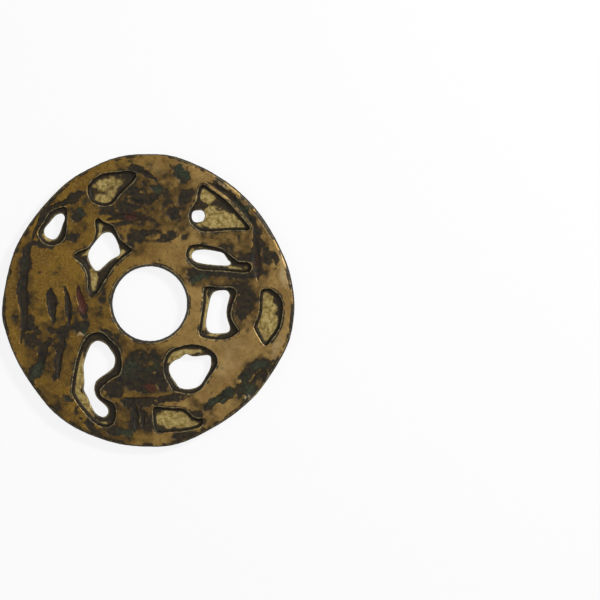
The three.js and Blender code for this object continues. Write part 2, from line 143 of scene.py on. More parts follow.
# The stage, in metres and watts. A lamp is its place, its width and its power.
LAMPS = {
    "key": ((0.26, 0.17, 0.26), 0.08, 1.3),
    "fill": ((-0.25, -0.05, 0.4), 0.3, 0.25),
}
SKY_LIGHT = 0.3
FLOOR_HALF = 0.6
FLOOR_DROP = 0.02 * MM
FLOOR_COLOUR = 0.85
FLOOR_GLOW = 0.86
LENS = 300
SENSOR = 36
NEAREST_SEEN = 0.01


def from_photo(pixel_x, pixel_y):
    """A place on the coin, in metres, from a place in the photograph."""
    x = (pixel_x - PHOTO_COIN_CENTRE[0]) * PHOTO_PIXEL
    y = (PHOTO_COIN_CENTRE[1] - pixel_y) * PHOTO_PIXEL
    return np.array([x, y])


# Noise and masks

def lattice_value(cell, seed):
    """A number from 0 to 1 for each whole-number place, the same on each run."""
    mixed = (cell[:, 0] * 73856093) ^ (cell[:, 1] * 19349663) ^ (cell[:, 2] * 83492791)
    mixed = (mixed ^ (seed * 2654435761)) & 0xFFFFFFFF
    mixed = (mixed ^ (mixed >> 15)) * 2246822519 & 0xFFFFFFFF
    mixed = (mixed ^ (mixed >> 13)) * 3266489917 & 0xFFFFFFFF
    mixed = mixed ^ (mixed >> 16)
    return (mixed & 0xFFFFFF) / float(0xFFFFFF)


def value_noise(points, size, seed):
    """Smooth noise from -1 to 1 whose lumps are about as wide as size."""
    scaled = points / size
    cell = np.floor(scaled).astype(np.int64)
    part = scaled - cell
    part = part * part * (3 - 2 * part)
    total = np.zeros(len(points))
    for dx in (0, 1):
        for dy in (0, 1):
            for dz in (0, 1):
                weight = np.abs(1 - dx - part[:, 0])
                weight = weight * np.abs(1 - dy - part[:, 1])
                weight = weight * np.abs(1 - dz - part[:, 2])
                total += weight * lattice_value(cell + (dx, dy, dz), seed)
    return total * 2 - 1


def layered_noise(points, size, seed, layers):
    """Noise with finer and fainter layers over its broad one."""
    total = np.zeros(len(points))
    strength = 1.0
    whole = 0.0
    for layer in range(layers):
        total += strength * value_noise(points, size / 2 ** layer, seed + layer)
        whole += strength
        strength *= LAYER_FADE
    return total / whole


def ramp(value, low, high):
    """0 below low, 1 above high, and smooth between them."""
    part = np.clip((value - low) / (high - low), 0, 1)
    return part * part * (3 - 2 * part)


def blob(places, pixel, length, width, turn):
    """1 in the middle of a soft-edged oval patch and 0 outside it."""
    offset = places - from_photo(*pixel)
    angle = math.radians(turn)
    along = offset[:, 0] * math.cos(angle) + offset[:, 1] * math.sin(angle)
    across = offset[:, 1] * math.cos(angle) - offset[:, 0] * math.sin(angle)
    reach = np.sqrt((along / (length * MM / 2)) ** 2 + (across / (width * MM / 2)) ** 2)
    return 1 - ramp(reach, PATCH_FULL, PATCH_GONE)


def patches(places, listed):
    """The strongest of all the patches in a list, at each place."""
    strongest = np.zeros(len(places))
    for pixel_x, pixel_y, length, width, turn, strength in listed.values():
        patch = blob(places, (pixel_x, pixel_y), length, width, turn)
        strongest = np.maximum(strongest, patch * strength)
    return strongest


# Where the photograph shows each kind of crust, with painted shade among the dark patches
# beside the cells' sides turned from the key lamp, as right of the comma, and painted
# highlight among the pale patches on the rims facing it. A patch is its middle in the
# photograph's pixels, its length and width in mm, its turn in degrees and its strength.
OBVERSE_DARK = {
    "left band, upper": (26, 262, 8, 2.2, 80, 0.95),
    "left band, middle": (23, 295, 7, 2.3, 92, 0.95),
    "left band, lower": (28, 322, 4, 3.0, 60, 0.7),
    "rim by the tear": (50, 212, 6, 1.6, 45, 0.9),
    "above the tear": (72, 200, 7, 1.8, 20, 0.9),
    "under the tear": (45, 244, 6, 1.8, 5, 0.95),
    "spindle": (51, 305, 6.5, 2.0, 97, 0.9),
    "thin furrow": (67, 303, 9, 1.1, 97, 0.85),
    "by the spindle": (84, 310, 3.5, 2.0, 100, 0.8),
    "left of the comma": (80, 327, 4, 2.5, 30, 0.9),
    "low left one": (44, 352, 8, 2.2, 75, 0.9),
    "low left two": (35, 372, 3, 2.6, 60, 0.85),
    "low left three": (60, 358, 10, 1.5, 80, 0.85),
    "low left four": (30, 336, 6, 2.6, 40, 0.7),
    "low left five": (57, 376, 3, 1.7, 80, 0.8),
    "low left field": (50, 342, 9, 4.5, 10, 0.45),
    "mid left smear": (62, 328, 8, 2.5, 0, 0.55),
    "collar, left": (103, 300, 6, 1.5, 90, 0.6),
    "collar, lower left": (108, 335, 6, 1.4, -45, 0.7),
    "ring of the hole, left": (96, 290, 5, 2.0, 60, 0.6),
    "upper line one": (138, 170, 5, 2.0, -20, 0.9),
    "upper line two": (150, 176, 4, 1.2, -20, 0.8),
    "upper field one": (135, 193, 7, 3.5, 0, 0.75),
    "upper field two": (125, 206, 9, 2.2, 5, 0.75),
    "upper field three": (147, 198, 5, 2.5, 0, 0.75),
    "upper brown band": (130, 216, 13, 2.4, -3, 0.7),
    "line by the diamond": (118, 225, 7, 1.0, 5, 0.9),
    "middle top": (157, 185, 4, 3.0, 30, 0.6),
    "middle top two": (168, 206, 5, 3.0, 50, 0.6),
    "middle top three": (175, 215, 4, 3.5, 80, 0.65),
    "middle top four": (184, 195, 5, 3.5, 40, 0.7),
    "middle top five": (180, 172, 5, 3.5, -50, 0.6),
    "over the slot, left": (170, 238, 6, 2.0, 10, 0.75),
    "over the slot": (150, 234, 7, 1.8, 0, 0.6),
    "over the diamond": (133, 236, 7, 4.0, -20, 0.6),
    "left upper patch": (73, 236, 4, 2.0, -10, 0.7),
    "left upper patch two": (78, 216, 5, 2.5, 60, 0.7),
    "rim groove": (232, 196, 9, 1.3, -40, 0.8),
    "rim groove two": (252, 222, 8, 1.5, -58, 0.85),
    "right band": (257, 247, 9, 2.0, -88, 0.85),
    "right band two": (258, 268, 6, 2.2, 80, 0.8),
    "under the slot": (225, 274, 14, 1.8, -3, 0.8),
    "right of the slot": (247, 259, 5, 3.0, 0, 0.8),
    "over the slot, right": (232, 240, 6, 2.0, -15, 0.45),
    "right grey": (270, 257, 3.5, 3.5, 0, 0.55),
    "beside the rectangle": (246, 302, 7, 4.6, 80, 0.9),
    "beside the rectangle, top": (242, 288, 4.5, 3.0, 0, 0.85),
    "right of the collar": (193, 275, 4, 3.0, 30, 0.75),
    "between comma and pentagon": (138, 378, 10, 7.5, 0, 0.85),
    "below the collar": (140, 360, 7, 4.5, 0, 0.65),
    "beside the pentagon": (162, 380, 5, 3.5, 80, 0.8),
    "right of the comma": (113, 390, 6, 3.0, -30, 0.85),
    "bottom band": (135, 403, 10, 2.0, 0, 0.85),
    "bottom band two": (170, 398, 8, 1.8, 5, 0.8),
    "bottom furrow": (135, 418, 6, 1.6, 90, 0.85),
    "bottom furrow two": (143, 416, 5, 1.3, 90, 0.7),
    "bottom left": (118, 432, 6, 2.0, -8, 0.8),
    "left of the bottom cell": (150, 420, 5, 1.2, 90, 0.6),
    "right of the bottom cell": (200, 418, 4, 2.5, -60, 0.9),
    "under the bottom cell": (185, 435, 7, 1.2, 8, 0.8),
    "lower right diagonal": (222, 397, 6.5, 1.7, 30, 0.85),
    "lower right diagonal two": (209, 407, 3, 1.9, 60, 0.8),
    "chip": (250, 375, 8, 4.0, 50, 0.75),
    "chip low": (244, 388, 4.5, 3.0, 40, 0.7),
    "chip top": (263, 365, 4.5, 2.6, 30, 0.65),
    "low left rim": (75, 405, 7, 2.6, -40, 0.55),
    "low left rim two": (92, 425, 5, 1.8, -35, 0.6),
}
OBVERSE_GREEN = {
    "top": (158, 186, 3, 3, 0, 0.7),
    "top right": (180, 168, 5, 3, -50, 0.8),
    "rim": (246, 209, 5, 2, -50, 0.6),
    "by the slot": (199, 280, 4, 3, 20, 0.8),
    "by the tear": (58, 248, 5, 2, 0, 0.6),
    "chip": (252, 378, 9, 5, 50, 0.6),
    "middle": (140, 370, 8, 5, 0, 0.5),
    "low left": (38, 372, 4, 3, 60, 0.7),
    "low left rim": (70, 402, 6, 3, -40, 0.5),
    "left band": (25, 275, 9, 2, 90, 0.35),
    "bottom": (125, 433, 6, 2, 0, 0.6),
    "diagonal": (220, 398, 6, 2, 30, 0.8),
    "upper left": (75, 183, 3, 2, 40, 0.7),
    "left upper": (84, 210, 4, 4, 60, 0.5),
    "beside the comma": (82, 330, 3, 3, 0, 0.4),
}
OBVERSE_RED = {
    "furrow": (81, 298, 6, 2.4, 98, 0.95),
    "spot": (150, 388, 2.5, 2.2, 0, 1.0),
    "upper band": (138, 216, 9, 2.4, 0, 0.5),
    "upper field": (150, 200, 5, 3, 0, 0.3),
    "by the rectangle": (240, 300, 6, 5, 80, 0.3),
    "low left": (42, 350, 6, 3, 70, 0.35),
    "by the slot": (186, 245, 4, 3, 0, 0.3),
    "right": (254, 262, 4, 4, 0, 0.3),
}
OBVERSE_BROWN = {
    "upper middle": (150, 200, 24, 15, -8, 0.75),
    "top left": (85, 205, 12, 6, 30, 0.6),
    "left upper": (72, 228, 8, 8, 60, 0.45),
    "over the slot": (232, 240, 16, 8, -20, 0.6),
    "right of the slot": (250, 262, 8, 10, 0, 0.75),
    "under the slot": (220, 276, 16, 5, 0, 0.8),
    "beside the rectangle": (245, 300, 11, 8, 90, 0.8),
    "middle bottom": (138, 376, 15, 14, 0, 0.8),
    "bottom": (135, 415, 16, 9, 0, 0.75),
    "bottom edge": (100, 436, 18, 4, -12, 0.8),
    "low left rim": (55, 405, 14, 5, -42, 0.6),
    "low left": (48, 352, 12, 13, 70, 0.7),
    "mid left": (62, 325, 14, 6, 0, 0.6),
    "left band": (25, 290, 22, 4, 90, 0.75),
    "collar left": (100, 300, 12, 4, 90, 0.6),
    "collar below": (120, 345, 10, 4, -40, 0.6),
    "furrows": (75, 300, 8, 6, 90, 0.45),
    "beside the diamond": (128, 240, 9, 6, -30, 0.6),
    "under the bottom cell": (190, 435, 12, 3, 10, 0.7),
    "right of the bottom cell": (205, 415, 8, 5, -50, 0.7),
    "chip": (252, 378, 12, 7, 50, 0.6),
    "rim groove": (240, 205, 20, 3, -48, 0.5),
}
REVERSE_BROWN = {
    "top left": (95, 195, 16, 10, 40, 0.8),
    "top": (135, 190, 12, 12, 0, 0.8),
    "middle": (155, 222, 20, 10, -10, 0.8),
    "upper right": (228, 210, 16, 12, -45, 0.8),
    "right": (262, 300, 22, 8, 80, 0.6),
    "right of the pentagon": (225, 362, 10, 9, 80, 0.8),
    "left low": (60, 345, 12, 11, 50, 0.8),
    "left": (25, 285, 16, 7, 88, 0.7),
    "furrows": (65, 300, 14, 12, 90, 0.4),
    "bottom": (150, 410, 18, 8, 0, 0.75),
    "under the tear": (45, 252, 12, 6, 0, 0.8),
}
# Floors are painted dark, with dirt and painted shade, unless pale crust shows on them
OBVERSE_SAND = {
    "tear, left": (46, 238, 4, 2.5, 40, 0.7),
    "tear, top": (62, 209, 2.5, 1.5, 0, 0.35),
    "diamond, top left": (99, 229, 4.5, 1.8, 65, 0.95),
    "diamond, left": (88, 249, 4, 1.8, 45, 0.85),
    "diamond, tail": (92, 279, 5, 2.2, 100, 0.8),
    "diamond, right": (122, 254, 3, 1.5, 30, 0.6),
    "upper left cell": (107, 188, 8, 5.5, 25, 0.6),
    "upper left cell, low": (104, 199, 4, 2, 0, 0.75),
    "small round cell": (218, 219, 10, 4, -12, 0.95),
    "small round cell, top": (208, 196, 4, 3.5, 60, 0.8),
    "small round cell, left": (194, 226, 4, 1.6, -10, 0.9),
    "small round cell, corner": (240, 225, 5, 2, -35, 0.7),
    "slot, left": (186, 252, 3, 4, 90, 0.95),
    "slot, top": (204, 246, 5, 1.2, 0, 0.5),
    "slot, tail": (238, 268, 5, 1.8, 0, 0.6),
    "rectangle, left": (204, 312, 9, 1.6, 85, 0.85),
    "rectangle, bottom": (212, 336, 5, 1.2, 5, 0.7),
    "right cell": (267, 316, 10, 4.5, 95, 1.0),
    "right cell, low": (266, 334, 4, 3, 90, 0.8),
    "pentagon, top left": (173, 357, 5, 2.6, 35, 0.95),
    "pentagon, top": (190, 351, 6, 1.5, 0, 0.7),
    "comma, left": (79, 370, 10, 2.2, 88, 0.85),
    "comma, low left": (82, 402, 7, 2.6, -55, 0.9),
    "comma, foot": (100, 422, 4, 1.5, -20, 0.7),
    "bottom cell": (172, 419, 7, 4, 0, 0.9),
    "bottom cell, right": (192, 424, 4, 2, 0, 0.7),
}
REVERSE_SAND = {
    "tear, left": (42, 238, 4, 3, 60, 0.9),
    "tear, top": (66, 216, 2, 1.5, 0, 0.6),
    "diamond, left": (88, 262, 5, 1.6, -50, 0.8),
    "diamond, top": (104, 232, 3, 1.4, 50, 0.7),
    "upper left cell": (117, 195, 4.5, 3.5, 70, 0.9),
    "small round cell": (206, 198, 5, 3, 70, 0.7),
    "small round cell, left": (186, 218, 4, 2, 80, 0.8),
    "bottom cell": (166, 421, 5, 2.6, 88, 1.0),
    "left cell": (33, 352, 4, 3, -60, 0.8),
    "comma, left": (79, 375, 9, 1.5, 88, 0.6),
    "pentagon, corner": (213, 358, 1.5, 2.5, 0, 0.8),
}
# Pale bare metal, and painted highlight on the right-hand rims that face the key lamp
OBVERSE_PALE_AND_HIGHLIGHT = {
    "chip facet": (248, 389, 1.6, 1.0, 60, 1.0),
    "chip facet two": (247, 396, 1.2, 0.8, 20, 0.9),
    "under the collar": (133, 355, 0.9, 0.7, 0, 0.8),
    "right field": (225, 360, 12, 9, 60, 0.35),
    "top right rim": (228, 183, 9, 2.2, -38, 0.5),
    "right rim": (283, 268, 9, 2.4, -75, 0.55),
    "lower right rim": (278, 345, 8, 2.2, 70, 0.4),
    "yellow patch": (82, 334, 1.8, 1.2, 0, 0.7),
    "upper middle": (156, 168, 5, 3, -20, 0.3),
    "under the diamond": (105, 245, 2, 2, 0, 0.2),
}
REVERSE_DARK = {
    "top left field": (95, 190, 9, 6.0, 45, 0.9),
    "top left field two": (80, 205, 7, 4.0, 50, 0.85),
    "top": (137, 180, 7, 6.5, 0, 0.9),
    "top centre": (122, 175, 7, 3.0, 10, 0.8),
    "upper field": (137, 205, 8, 6.0, 0, 0.8),
    "upper field two": (165, 210, 9, 4.0, -15, 0.8),
    "middle field": (160, 232, 12, 7.0, -20, 0.95),
    "middle field two": (140, 226, 9, 4.0, 0, 0.85),
    "right of the cell": (188, 182, 4, 4.0, -40, 0.8),
    "right of the cell two": (222, 203, 7, 5.0, -40, 0.9),
    "upper right": (240, 218, 9, 5.0, -50, 0.85),
    "under the small hole": (215, 232, 9, 4.0, 0, 0.75),
    "over the slot": (205, 240, 9, 2.5, 0, 0.75),
    "right of the slot": (243, 263, 8, 2.6, 0, 0.85),
    "chip": (271, 248, 4, 3.4, 90, 0.9),
    "right rim": (270, 295, 6, 4.0, 80, 0.7),
    "right rim two": (268, 325, 6, 4.5, 70, 0.7),
    "right rim three": (265, 350, 5, 3.5, 50, 0.65),
    "right of the rectangle": (237, 284, 5, 2.0, 90, 0.9),
    "right of the rectangle two": (235, 322, 5, 1.6, -80, 0.8),
    "over the rectangle": (222, 277, 4, 2.6, 0, 0.6),
    "under the rectangle": (220, 342, 6, 3.0, 10, 0.9),
    "beside the pentagon": (225, 363, 7, 6.5, 80, 0.9),
    "lower right": (250, 372, 7, 5.0, 50, 0.65),
    "under the pentagon": (215, 385, 4, 3.0, 70, 0.85),
    "lower right rim": (244, 398, 4, 3.0, 30, 0.6),
    "under the tear": (45, 250, 8, 4.0, 0, 0.9),
    "beside the tear": (66, 230, 7, 1.6, 78, 0.9),
    "above the tear": (60, 206, 6, 2.4, 35, 0.85),
    "left band": (22, 280, 9, 3.0, 92, 0.8),
    "left band two": (20, 300, 5, 3.4, 90, 0.8),
    "furrow one": (47, 272, 5, 2.6, 85, 0.75),
    "furrow one low": (44, 305, 6, 2.6, 85, 0.85),
    "furrow two": (73, 292, 5, 1.8, 85, 0.85),
    "furrow two low": (68, 316, 6, 2.6, 100, 0.85),
    "furrow three": (94, 285, 6, 1.6, 90, 0.8),
    "furrow three low": (93, 305, 4, 1.6, 90, 0.7),
    "left middle": (85, 325, 5, 2.6, 15, 0.85),
    "left low field": (68, 345, 7, 4.5, 60, 0.9),
    "left low field two": (66, 372, 6, 3.0, 80, 0.9),
    "left cell": (34, 350, 6, 5.0, -60, 0.7),
    "left cell side": (42, 368, 4, 2.5, 0, 0.8),
    "left low": (38, 328, 5, 3.0, 0, 0.7),
    "by the comma": (122, 372, 4, 2.4, 0, 0.8),
    "bottom band": (133, 398, 10, 2.6, -5, 0.85),
    "bottom furrow": (134, 415, 6, 2.0, 90, 0.75),
    "bottom left": (130, 430, 4, 3.0, 0, 0.75),
    "bottom cell": (183, 420, 6, 5.0, 90, 0.85),
    "over the bottom cell": (172, 401, 6, 2.2, 0, 0.8),
    "bottom rim": (150, 440, 8, 1.6, 3, 0.8),
}
REVERSE_GREEN = {
    "top left": (90, 190, 10, 6, 45, 0.7),
    "middle": (165, 238, 11, 6, -20, 0.8),
    "upper right": (238, 218, 8, 5, -50, 0.5),
    "right": (250, 263, 8, 3, 0, 0.6),
    "chip": (271, 248, 4, 3, 90, 0.8),
    "right rim": (270, 320, 9, 4, 80, 0.5),
    "left low": (68, 345, 8, 5, 60, 0.7),
    "left cell": (50, 362, 3, 2, 60, 0.8),
    "bottom": (135, 398, 9, 3, -5, 0.7),
    "bottom right": (180, 415, 5, 6, 60, 0.6),
    "lower right": (214, 382, 4, 2, 80, 0.9),
    "furrow": (66, 318, 5, 3, 90, 0.6),
}
REVERSE_RED = {
    "top": (135, 205, 7, 4, 0, 0.5),
    "upper": (165, 215, 8, 4, 0, 0.5),
    "under the tear": (50, 247, 7, 3, 0, 0.7),
    "left": (60, 295, 3, 1.5, -60, 0.7),
    "left two": (48, 327, 4, 2, -40, 0.7),
    "right of the small hole": (220, 205, 6, 4, -30, 0.5),
    "lower right": (215, 365, 4, 3, 60, 0.6),
    "bottom cell": (175, 415, 5, 2, 20, 0.7),
}
REVERSE_PALE_AND_HIGHLIGHT = {
    "cell edge": (110, 198, 4, 1.2, 80, 0.7),
    "small hole": (187, 208, 3.5, 1.6, 65, 0.8),
    "right rim": (287, 290, 9, 1.2, -80, 0.9),
    "upper right rim": (262, 222, 8, 1.2, -50, 0.8),
    "chip facet": (243, 399, 1.6, 0.9, 10, 1.0),
    "bottom cell": (165, 422, 1.2, 3.2, 0, 0.9),
    "bottom rim": (128, 442, 4, 1.2, 0, 0.7),
    "lower right field": (215, 405, 10, 6, 40, 0.4),
    "right field": (252, 300, 9, 4, 85, 0.35),
    "top field": (165, 168, 12, 4, 0, 0.35),
}


# The fine mesh of the worn disc

def fine_copy(node):
    """A copy of a CAD node's mesh, remeshed into small even faces."""
    mesh = node.data.copy()
    disc = bpy.data.objects.new("worn_disc", mesh)
    bpy.context.scene.collection.objects.link(disc)
    weld = disc.modifiers.new("weld", "WELD")
    weld.merge_threshold = 0.002 * MM
    remesh = disc.modifiers.new("remesh", "REMESH")
    remesh.mode = "VOXEL"
    remesh.voxel_size = VOXEL
    graph = bpy.context.evaluated_depsgraph_get()
    fine = bpy.data.meshes.new_from_object(disc.evaluated_get(graph))
    disc.modifiers.clear()
    disc.data = fine
    return disc


def read_points(mesh):
    points = np.empty(len(mesh.vertices) * 3, np.float32)
    mesh.vertices.foreach_get("co", points)
    return points.reshape(-1, 3).astype(float)


def read_edges(mesh):
    edges = np.empty(len(mesh.edges) * 2, np.int32)
    mesh.edges.foreach_get("vertices", edges)
    return edges.reshape(-1, 2)


def read_normals(mesh):
    normals = np.empty(len(mesh.vertices) * 3, np.float32)
    mesh.vertex_normals.foreach_get("vector", normals)
    return normals.reshape(-1, 3).astype(float)


def averaged(values, edges, count):
    """Each point's value, averaged over its neighbours."""
    a, b = edges[:, 0], edges[:, 1]
    degree = np.bincount(a, minlength=count) + np.bincount(b, minlength=count)
    total = np.empty_like(values)
    for axis in range(values.shape[1]):
        column = values[:, axis]
        from_a = np.bincount(a, column[b], count)
        from_b = np.bincount(b, column[a], count)
        total[:, axis] = from_a + from_b
    return total / np.maximum(degree, 1)[:, None]


def smoothed(values, edges, steps):
    for _ in range(steps):
        values = 0.5 * values + 0.5 * averaged(values, edges, len(values))
    return values


def write_points(mesh, points):
    mesh.vertices.foreach_set("co", points.astype(np.float32).ravel())
    mesh.update()


def write_amount(mesh, name, amounts):
    layer = mesh.attributes.new(name, "FLOAT", "POINT")
    layer.data.foreach_set("value", np.clip(amounts, 0, 1).astype(np.float32))


# Wear, crusts, painted shade and painted highlight

class Surface:
    """What the crusts and the relief need to know of each point of the worn disc."""

    def __init__(self, edges, points, normals):
        # How deep a point lies below its own face, and how hollow the metal is round it
        self.top = points[:, 2] > THICKNESS / 2
        depth = np.where(self.top, HIGH[2] - points[:, 2], points[:, 2] - LOW[2])
        narrow = smoothed(points, edges, NARROW_STEPS) - points
        broad = smoothed(points, edges, BROAD_STEPS) - points
        self.narrow_hollow = (narrow * normals).sum(1)
        self.broad_hollow = (broad * normals).sum(1)

        # The places that the patches are measured at wander, so their edges fray
        self.places = points[:, :2].copy()
        self.places[:, 0] += WANDER * layered_noise(points, *WANDER_ACROSS)
        self.places[:, 1] += WANDER * layered_noise(points, *WANDER_UP)

        self.broad = layered_noise(points, *BROAD)
        self.middling = layered_noise(points, *MIDDLING)
        self.small = layered_noise(points, *SMALL)
        self.grain = layered_noise(points, *GRAIN)

        # Walls, the rim's own side, cell floors, cells and furrows
        self.wall = 1 - ramp(np.abs(normals[:, 2]), *WALL_FLATNESS)
        from_middle = np.hypot(points[:, 0], points[:, 1])
        begins, ends = RIM_INSIDE
        self.side = ramp(from_middle, RADIUS - begins, RADIUS - ends) * self.wall
        self.floor = ramp(depth, *FLOOR_DEPTHS) * (1 - self.wall)
        self.sunk = ramp(depth, *CELL_DEPTHS)
        self.furrow = ramp(depth, *FURROW_DEPTHS) * (1 - self.sunk)

    def both(self, obverse, reverse):
        """The patches of the face that each point belongs to."""
        return np.where(self.top, patches(self.places, obverse), patches(self.places, reverse))


def sand_on(surface):
    """The pale crust, which lies only on cell floors."""
    sand = surface.both(OBVERSE_SAND, REVERSE_SAND)
    sand = ramp(sand + 0.5 * surface.middling + 0.25 * surface.small, 0.25, 0.75)
    return sand * surface.floor


def dirt_and_shade_on(surface, brown_patches, sand):
    """The dirt and painted shade, the strongest at each point of what the lines below add."""
    middling, small, sunk, side = surface.middling, surface.small, surface.sunk, surface.side

    # The listed patches with frayed edges, and dark mottling where the metal is brown
    listed = surface.both(OBVERSE_DARK, REVERSE_DARK)
    dark = ramp(listed + 0.6 * middling + 0.3 * small, 0.12, 0.75)
    mottled = ramp(0.75 * brown_patches + 0.9 * middling + 0.5 * small, 0.4, 1.05)
    dark = np.maximum(dark, mottled * ramp(brown_patches, 0.1, 0.4))

    # Furrows, the brink and foot of each wall, and the wall itself: dirt, and painted shade on
    # the walls and round their brinks
    in_furrow = 0.9 * surface.furrow * ramp(surface.furrow + 0.6 * middling, 0.2, 0.7)
    dark = np.maximum(dark, in_furrow)
    foot = ramp(surface.broad_hollow, 0.015 * MM, 0.07 * MM)
    brink = ramp(-surface.broad_hollow, 0.03 * MM, 0.1 * MM) * (1 - sunk) * (1 - side)
    dark = np.maximum(dark, 0.8 * brink * ramp(middling + 0.4 * surface.broad, -0.35, 0.25))
    dark = np.maximum(dark, 0.85 * foot * (1 - side))
    dark = np.maximum(dark, 0.9 * surface.wall * (1 - side))

    # Cell floors without sand get dirt and the painted shade of ledges turned from the key
    # lamp; narrow seams get dirt and painted shade, and scattered stains are dirt
    in_cell = np.maximum(dark * 0.9, 0.75) * (1 - 0.9 * sand)
    dark = np.where(sunk > 0.5, in_cell, dark)
    seams = ramp(surface.narrow_hollow, 0.008 * MM, 0.03 * MM)
    dark = np.maximum(dark, 0.95 * seams)
    stains = ramp(small + 0.5 * middling, 0.42, 0.8) * (1 - surface.floor)
    return np.maximum(dark, 0.55 * stains)


def relief_on(surface, dark):
    """How far each point moves out: waves, sunk and lumpy ground under the dirt and painted
    shade, and rough floors.
    """
    low_ground = ramp(dark, 0.3, 0.75) * (1 - surface.sunk) * (1 - surface.wall)
    lift = FACE_WAVES * surface.broad
    lift -= DARK_SINKS * low_ground
    lift += DARK_LUMPS * low_ground * surface.middling
    lift += SMALL_LUMPS * np.maximum(low_ground, surface.floor) * surface.small
    lift += FLOOR_LUMPS * surface.floor * surface.middling
    lift += WALL_LUMPS * surface.wall * surface.small
    lift += GRAIN_HEIGHT * surface.grain
    return lift


def wear_weather_and_paint_light(disc):
    """Rounds the edges, roughens the faces and gives each point its crusts, its painted shade
    and its painted light.
    """
    mesh = disc.data
    edges = read_edges(mesh)
    points = smoothed(read_points(mesh), edges, WEAR_STEPS)
    write_points(mesh, points)
    normals = read_normals(mesh)
    surface = Surface(edges, points, normals)
    middling, small = surface.middling, surface.small

    brown_patches = surface.both(OBVERSE_BROWN, REVERSE_BROWN)
    green_patches = surface.both(OBVERSE_GREEN, REVERSE_GREEN)
    red_patches = surface.both(OBVERSE_RED, REVERSE_RED)
    pale_and_highlight_patches = surface.both(OBVERSE_PALE_AND_HIGHLIGHT, REVERSE_PALE_AND_HIGHLIGHT)
    sand = sand_on(surface)
    dark = dirt_and_shade_on(surface, brown_patches, sand)
    # Convex edges are paler: worn metal, and a painted highlight of the edges' shine
    worn_and_highlight = ramp(-surface.narrow_hollow, 0.012 * MM, 0.045 * MM)

    moved = points + normals * relief_on(surface, dark)[:, None]
    moved = np.clip(moved, LOW, HIGH)
    write_points(mesh, moved)

    amounts = {
        "dark": dark,
        "brown": ramp(brown_patches + 0.7 * middling + 0.35 * small, 0.05, 0.75),
        "green": ramp(green_patches + 0.8 * middling + 0.2 * small, 0.3, 0.85),
        "red": ramp(red_patches + 0.6 * middling, 0.3, 0.9),
        # pale metal, and painted highlight on the rims facing the key lamp
        "pale": ramp(pale_and_highlight_patches + 0.35 * middling, 0.15, 1.0),
        "edge": worn_and_highlight * (0.7 + 0.5 * surface.grain),
        "crust": sand,
        "side": surface.side,
        # painted light: the metal lighter towards the right, where the key lamp stands
        "tan": ramp(points[:, 0] + TAN_WANDER * surface.broad, TAN_FROM, TAN_TO),
    }
    for name, amount in amounts.items():
        write_amount(mesh, name, amount)
    mesh.polygons.foreach_set("use_smooth", np.ones(len(mesh.polygons), bool))


# The material

class NodeTree:
    """Short calls for the few kinds of node that the bronze uses."""

    def __init__(self, material):
        material.use_nodes = True
        self.tree = material.node_tree
        self.shader = self.tree.nodes["Principled BSDF"]

    def amount(self, name):
        node = self.tree.nodes.new("ShaderNodeAttribute")
        node.attribute_name = name
        return node.outputs["Fac"]

    def noise(self, size, detail=4, rough=0.6):
        place = self.tree.nodes.new("ShaderNodeTexCoord")
        node = self.tree.nodes.new("ShaderNodeTexNoise")
        node.inputs["Scale"].default_value = 1 / size
        node.inputs["Detail"].default_value = detail
        node.inputs["Roughness"].default_value = rough
        self.tree.links.new(place.outputs["Object"], node.inputs["Vector"])
        return node.outputs["Fac"]

    def stretch(self, value, low, high, to_low=0.0, to_high=1.0):
        node = self.tree.nodes.new("ShaderNodeMapRange")
        node.interpolation_type = "SMOOTHSTEP"
        node.inputs["From Min"].default_value = low
        node.inputs["From Max"].default_value = high
        node.inputs["To Min"].default_value = to_low
        node.inputs["To Max"].default_value = to_high
        self.tree.links.new(value, node.inputs["Value"])
        return node.outputs["Result"]

    def math(self, operation, first, second):
        node = self.tree.nodes.new("ShaderNodeMath")
        node.operation = operation
        for socket, value in zip(node.inputs, (first, second)):
            if isinstance(value, (int, float)):
                socket.default_value = value
            else:
                self.tree.links.new(value, socket)
        return node.outputs[0]

    def colour(self, amount, first, second):
        """The first colour where the amount is 0 and the second where it is 1."""
        node = self.tree.nodes.new("ShaderNodeMix")
        node.data_type = "RGBA"
        self.tree.links.new(amount, node.inputs["Factor"])
        for socket, value in ((node.inputs["A"], first), (node.inputs["B"], second)):
            if isinstance(value, tuple):
                socket.default_value = (*linear(value), 1)
            else:
                self.tree.links.new(value, socket)
        return node.outputs["Result"]

    def put(self, name, value):
        self.tree.links.new(value, self.shader.inputs[name])


def linear(seen):
    """A colour as the shader wants it, from the colour seen on screen."""
    def one(value):
        value = value / 255
        return value / 12.92 if value <= 0.04045 else ((value + 0.055) / 1.055) ** 2.4
    return tuple(one(value) for value in seen)


